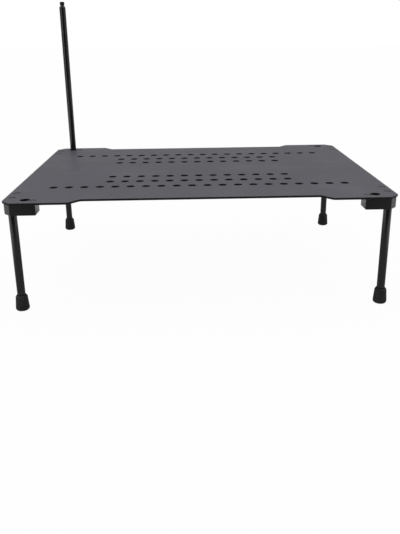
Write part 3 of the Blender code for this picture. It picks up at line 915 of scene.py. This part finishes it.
def pinMesh(sizes):
    low, high = inCorner("pivot_pin_front_left")
    half = (high.x - low.x) / 2
    radius = (high.y - low.y) / 2
    dome = sizes["dome"]
    upper = [(radius * wide, half - dome * deep) for wide, deep in sizes["domeProfile"]]
    upper += [(sizes["dimple"] * wide, half - dome * deep) for wide, deep in sizes["dimpleProfile"]]
    lower = [(r, -z) for r, z in reversed(upper)]
    return lieAlongX(turnedMesh(lower + upper, sizes["sides"]), *pivot)


addAtCorners("leafSpring", springMesh(springSizes), "spring_steel", "leaf_spring_", "root")
addAtCorners("socketBush", bushMesh(bushSizes), "brass", "socket_bush_", "root")
addAtCorners("pivotPin", pinMesh(pinSizes), "steel", "pivot_pin_", "root")
print("springs, bushes and pins ready")


# Legs

lugSizes = {
    "camRadius": 4.4 * mm,
    "shoulder": 3.3 * mm,                     # from the pivot down to the top of the tube
    "edgeRadius": 0.3 * mm,
    "edgeSteps": 3,
    "holeRadius": 1.8 * mm,
    "holeSides": 36,
    "spigotSides": 40,
    "arcSteps": 12,
}
footSizes = {
    "baseRadius": 7.464 * mm,                 # where the flank would meet the floor
    "edgeRadius": 2.6 * mm,
    "shoulderRadius": 6.2 * mm,
    "shoulderDrop": 1.8 * mm,
    "shoulderFillet": 0.9 * mm,
    "lip": 0.4 * mm,
    "lipFillet": 0.15 * mm,
    "mouthFillet": 0.12 * mm,
    "sole": 4 * mm,
    "soleFillet": 0.3 * mm,
    "treadDepth": 0.5 * mm,
    "treadRadii": (1.6 * mm, 3.2 * mm),       # rings in the sole
    "treadWidth": 0.6 * mm,
    "treadFillet": 0.1 * mm,
    "filletSteps": 6,
    "sides": 56,
}


def lugMesh(sizes):
    low, high = inCorner("hinge_lug_front_left")
    flat = legSizes["radius"]
    reach = sizes["camRadius"]
    start = atan2((reach ** 2 - flat ** 2) ** 0.5, flat)
    arc = []                                  # the cam, between the lug's side and its top
    for step in range(sizes["arcSteps"] + 1):
        turn = start + (pi / 2 - 2 * start) * step / sizes["arcSteps"]
        arc.append((pivot.y + reach * cos(turn), pivot.z + reach * sin(turn)))
    other = [(2 * pivot.y - v, w) for v, w in reversed(arc)]
    foot = pivot.z - sizes["shoulder"]
    outline = [(pivot.y + flat, foot)] + arc + other + [(pivot.y - flat, foot)]
    head = sweptAlongU(outline, low.x, high.x)
    sideEdge = lambda edge: abs(edge.verts[0].co.x - edge.verts[1].co.x) < sameLevel
    edge = sizes["edgeRadius"]
    head = rounded(head, sideEdge, edge, sizes["edgeSteps"])
    spigotRadius = legSizes["bore"] - clearance
    spigotTop = foot + sizes["shoulder"] / 2
    spigot = turnedMesh([
        (0, low.z), (spigotRadius - edge, low.z), (spigotRadius, low.z + edge),
        (spigotRadius, spigotTop), (0, spigotTop),
    ], sizes["spigotSides"])
    standAt(spigot, pivot.x, pivot.y)
    span = high.x - low.x
    radius = sizes["holeRadius"]
    hole = turnedMesh([(0, -span), (radius, -span), (radius, span), (0, span)], sizes["holeSides"])
    return combined(combined(head, [spigot], "UNION"), [lieAlongX(hole, *pivot)])


def legTubeMesh(sizes):
    low, high = inCorner("leg_tube_front_left")
    mesh = turnedMesh(tubeOutline(sizes, low.z, high.z), sizes["sides"])
    return standAt(mesh, legMiddle.x, legMiddle.y)


def footMesh(sizes):
    low, high = inCorner("rubber_foot_front_left")
    bore = legSizes["radius"] + clearance
    tread = []
    for radius in sizes["treadRadii"]:
        half = sizes["treadWidth"] / 2
        depth = low.z + sizes["treadDepth"]
        inner, outer = radius - half, radius + half
        ring = [(inner, low.z), (inner, depth), (outer, depth), (outer, low.z)]
        tread += [(r, z, sizes["treadFillet"]) for r, z in ring]
    outline = filleted([(0, low.z, 0)] + tread + [
        (sizes["baseRadius"], low.z, sizes["edgeRadius"]),
        (sizes["shoulderRadius"], high.z - sizes["shoulderDrop"], sizes["shoulderFillet"]),
        (bore + sizes["lip"], high.z, sizes["lipFillet"]),
        (bore, high.z, sizes["mouthFillet"]),
        (bore, low.z + sizes["sole"], sizes["soleFillet"]),
        (0, low.z + sizes["sole"], 0),
    ], sizes["filletSteps"])
    return standAt(turnedMesh(outline, sizes["sides"]), legMiddle.x, legMiddle.y)


addAtCorners("hingeLug", lugMesh(lugSizes), "steel", "hinge_lug_", "leg")
addAtCorners("legTube", legTubeMesh(legSizes), "tube_black", "leg_tube_", "leg")
addAtCorners("rubberFoot", footMesh(footSizes), "rubber_black", "rubber_foot_", "leg")
print("legs ready")


# Lamp pole

poleSizes = {
    "radius": 4.1 * mm,
    "bore": 3.2 * mm,
    "endBreak": 0.25 * mm,
    "endSteps": 3,
    "sides": 48,
}
spigotSizes = {
    "radius": 3.2 * mm,
    "length": 7.2 * mm,
    "chamfer": 0.6 * mm,
    "collar": 1.5 * mm,
    "steps": 3,
}
tipSizes = {
    "plugLength": 10 * mm,
    "shoulderLand": 0.4 * mm,
    "shoulder": 1.9 * mm,
    "shoulderFillet": 0.15 * mm,
    "neckRadius": 2.5 * mm,
    "neck": 0.9 * mm,
    "headRadius": 3.05 * mm,
    "headChamfer": 0.6 * mm,
    "headSideFillet": 0.6 * mm,
    "headTopFillet": 0.4 * mm,
    "steps": 4,
}
poleRadius = poleSizes["radius"]
poleEdge = poleSizes["endBreak"]
plugRadius = poleSizes["bore"] - clearance


def poleTurned(outline):                      # outline heights are world heights
    low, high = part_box("pole_tube")
    return standAt(turnedMesh(outline, poleSizes["sides"]), (low.x + high.x) / 2, (low.y + high.y) / 2)


def poleTubeMesh(sizes):
    low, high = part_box("pole_tube")
    return poleTurned(tubeOutline(sizes, low.z, high.z))


def poleSpigotMesh(sizes):
    low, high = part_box("pole_base_spigot")
    under = low.z + sizes["length"]
    over = under + sizes["collar"]
    return poleTurned(filleted([
        (0, low.z, 0),
        (sizes["radius"] - sizes["chamfer"], low.z, poleEdge),
        (sizes["radius"], low.z + sizes["chamfer"], poleEdge),
        (sizes["radius"], under, poleEdge),
        (poleRadius, under, poleEdge),
        (poleRadius, over, poleEdge),
        (plugRadius, over, poleEdge),
        (plugRadius, high.z, poleEdge),
        (0, high.z, 0),
    ], sizes["steps"]))


def poleTipMesh(sizes):
    low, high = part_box("pole_tip_stud")
    base = low.z + sizes["plugLength"]
    taperTop = base + sizes["shoulderLand"] + sizes["shoulder"]
    neckTop = taperTop + sizes["neck"]
    return poleTurned(filleted([
        (0, low.z, 0),
        (plugRadius, low.z, poleEdge),
        (plugRadius, base, 0),
        (poleRadius, base, sizes["shoulderFillet"]),
        (poleRadius, base + sizes["shoulderLand"], sizes["shoulderFillet"]),
        (sizes["neckRadius"], taperTop, poleEdge),
        (sizes["neckRadius"], neckTop, poleEdge),
        (sizes["headRadius"], neckTop, poleEdge),
        (sizes["headRadius"], high.z - sizes["headChamfer"], sizes["headSideFillet"]),
        (sizes["headRadius"] - sizes["headChamfer"], high.z, sizes["headTopFillet"]),
        (0, high.z, 0),
    ], sizes["steps"]))


addPiece("poleTube", poleTubeMesh(poleSizes), "lamp_pole", "tube_black", ["pole_tube"])
addPiece("poleBaseSpigot", poleSpigotMesh(spigotSizes), "lamp_pole", "steel", ["pole_base_spigot"])
addPiece("poleTipStud", poleTipMesh(tipSizes), "lamp_pole", "bracket_black", ["pole_tip_stud"])
print("pole ready")


# Stage

floorLook = {
    "size": 30.0,
    "colour": (0.82, 0.82, 0.82),
    "whiteShare": 0.97,                       # how much of the floor is plain white to the camera
    "mirroredShare": 0.90,                    # the same for the near floor that the table mirrors
    "mirroredBack": 0.95,                     # brightness that the table mirrors, beside and behind it
    "paintedShadowUnder": 0.26,                    # painted shadow of the table under and before it, seen only in reflections
    "paintedShadeFarBefore": 0.06,                      # painted shade far before it, seen only in reflections
    "besideFrom": (0.28, 0.5),                # metres over which one brightness gives way to the next
    "behindFrom": (0.13, 0.28),
    "frontFrom": (-0.9, -0.35),
    "farFromTable": (0.8, 1.4),               # past these the floor is mirrored as the world is
}
worldLook = {
    "skyFill": 0.45,                          # soft light from all round
    "roomFill": 0.12,                         # darker room in front of the table
    "mirrorSky": 0.50,                        # the same two as the table mirrors them
    "mirrorRoom": 0.04,
    "skyFrom": (-0.55, -0.1),                 # where room gives way to sky, on a heading's Y
}


def roomToSky(graph, heading, room, sky):     # the room in front gives way to the sky behind
    behind = graph.node("ShaderNodeSeparateXYZ", {}, {0: heading}, "Y").spread(*worldLook["skyFrom"])
    return room + behind * (sky - room)


def mirrorRays(graph):                        # glossy and transmission rays
    path = graph.node("ShaderNodeLightPath", output="Is Glossy Ray")
    return path + path.other("Is Transmission Ray")


def cameraRays(graph):
    return graph.node("ShaderNodeLightPath", output="Is Camera Ray")


def floorFinish(look):
    made = bpy.data.materials.new("paleFloor")
    made.use_nodes = True
    made.node_tree.nodes.clear()
    graph = Graph(made.node_tree)
    pale = graph.node("ShaderNodeBsdfDiffuse", {}, {"Color": (*look["colour"], 1.0)})
    place = graph.node("ShaderNodeTexCoord", output="Object")
    # the floor as the table mirrors it carries painted light and shade: lit beside and behind, a painted
    # shadow under the table, painted shade far before it
    across = graph.node("ShaderNodeSeparateXYZ", {}, {0: place}, "X")
    side = across.size().spread(*look["besideFrom"])
    behind = across.other("Y").spread(*look["behindFrom"])
    away = side + behind - side * behind
    near = across.other("Y").spread(*look["frontFrom"])
    # front: the painted shadow under the table, fading to painted shade far before it
    front = look["paintedShadeFarBefore"] + near * (look["paintedShadowUnder"] - look["paintedShadeFarBefore"])
    paintedNearFloor = front + away * (look["mirroredBack"] - front)
    reach = graph.node("ShaderNodeVectorMath", {"operation": "LENGTH"}, {0: place}, "Value")
    far = reach.spread(*look["farFromTable"])
    heading = graph.node("ShaderNodeVectorMath", {"operation": "NORMALIZE"}, {0: place})
    outside = roomToSky(graph, heading, worldLook["mirrorRoom"], worldLook["mirrorSky"])
    mirrored = paintedNearFloor + far * (outside - paintedNearFloor)
    strength = cameraRays(graph) + mirrorRays(graph) * mirrored
    glow = mixed(graph, strength, (0, 0, 0), (1, 1, 1))
    white = graph.node("ShaderNodeEmission", {}, {"Color": glow, "Strength": 1.0})
    plain = look["mirroredShare"] + far * (1 - look["mirroredShare"])
    share = cameraRays(graph) * look["whiteShare"] + mirrorRays(graph) * plain
    surface = graph.node("ShaderNodeMixShader", {}, {0: share, 1: pale, 2: white})
    end = made.node_tree.nodes.new("ShaderNodeOutputMaterial")
    graph.feed(end.inputs["Surface"], surface)
    return made


def addFloor(look):
    half = look["size"] / 2
    mesh = bpy.data.meshes.new("floor")
    corners = [(-half, -half, 0), (half, -half, 0), (half, half, 0), (-half, half, 0)]
    mesh.from_pydata(corners, [], [(0, 1, 2, 3)])
    mesh.materials.append(floorFinish(look))
    floor = bpy.data.objects.new("floor", mesh)
    bpy.context.scene.collection.objects.link(floor)


def addWorld(look):
    world = bpy.data.worlds.new("studio")
    world.use_nodes = True
    world.node_tree.nodes.clear()
    graph = Graph(world.node_tree)
    heading = graph.node("ShaderNodeTexCoord", output="Generated")
    fill = roomToSky(graph, heading, look["roomFill"], look["skyFill"])
    mirror = roomToSky(graph, heading, look["mirrorRoom"], look["mirrorSky"])
    seen = cameraRays(graph)
    shiny = mirrorRays(graph)
    strength = seen + shiny * mirror + (1 - seen - shiny) * fill
    glow = mixed(graph, strength, (0, 0, 0), (1, 1, 1))
    back = graph.node("ShaderNodeBackground", {}, {"Color": glow, "Strength": 1.0})
    end = world.node_tree.nodes.new("ShaderNodeOutputWorld")
    graph.feed(end.inputs["Surface"], back)
    bpy.context.scene.world = world


lampLooks = {                                 # kind, place, power, and a sun's spread or a panel's sides
    "overhead": ("SUN", (0.1, 0.15, 1.0), 1.5, {"angle": radians(90)}),
    "leftPanel": ("AREA", (-0.85, -0.60, 0.32), 1.45, {"shape": "RECTANGLE", "size": 0.25, "size_y": 0.9}),
    "rightPanel": ("AREA", (0.85, -0.60, 0.32), 0.55, {"shape": "RECTANGLE", "size": 0.25, "size_y": 0.9}),
}


def addLamps(looks):
    target = Vector((0, 0, plateHigh.z))
    for name, (kind, place, power, form) in looks.items():
        light = bpy.data.lights.new(name, kind)
        light.energy = power
        for setting, value in form.items():
            setattr(light, setting, value)
        lamp = bpy.data.objects.new(name, light)
        lamp.location = place
        lamp.rotation_euler = (target - Vector(place)).to_track_quat("-Z", "Y").to_euler()
        bpy.context.scene.collection.objects.link(lamp)


cameraLook = {                                # solved from the photograph's 400 by 534 frame
    "place": (-0.01403, -0.74023, 0.27479),
    "tilt": 71.4548,
    "roll": 0.6485,
    "heading": -1.4105,
    "focalPixels": 609.0,
    "frameLongSide": 534,
    "sensorWidth": 36.0,
    "centreAbove": 27,                        # pixels from the frame's middle up to the lens's axis
}


def addCamera(look):
    lens = bpy.data.cameras.new("camera")
    lens.sensor_fit = "AUTO"
    lens.sensor_width = look["sensorWidth"]
    lens.lens = look["focalPixels"] / look["frameLongSide"] * look["sensorWidth"]
    lens.shift_y = -look["centreAbove"] / look["frameLongSide"]
    camera = bpy.data.objects.new("camera", lens)
    camera.location = look["place"]
    camera.rotation_euler = (radians(look["tilt"]), radians(look["roll"]), radians(look["heading"]))
    bpy.context.scene.collection.objects.link(camera)
    bpy.context.scene.camera = camera


addFloor(floorLook)
addWorld(worldLook)
addLamps(lampLooks)
addCamera(cameraLook)
bpy.context.scene.view_settings.view_transform = "Standard"
print("stage ready")
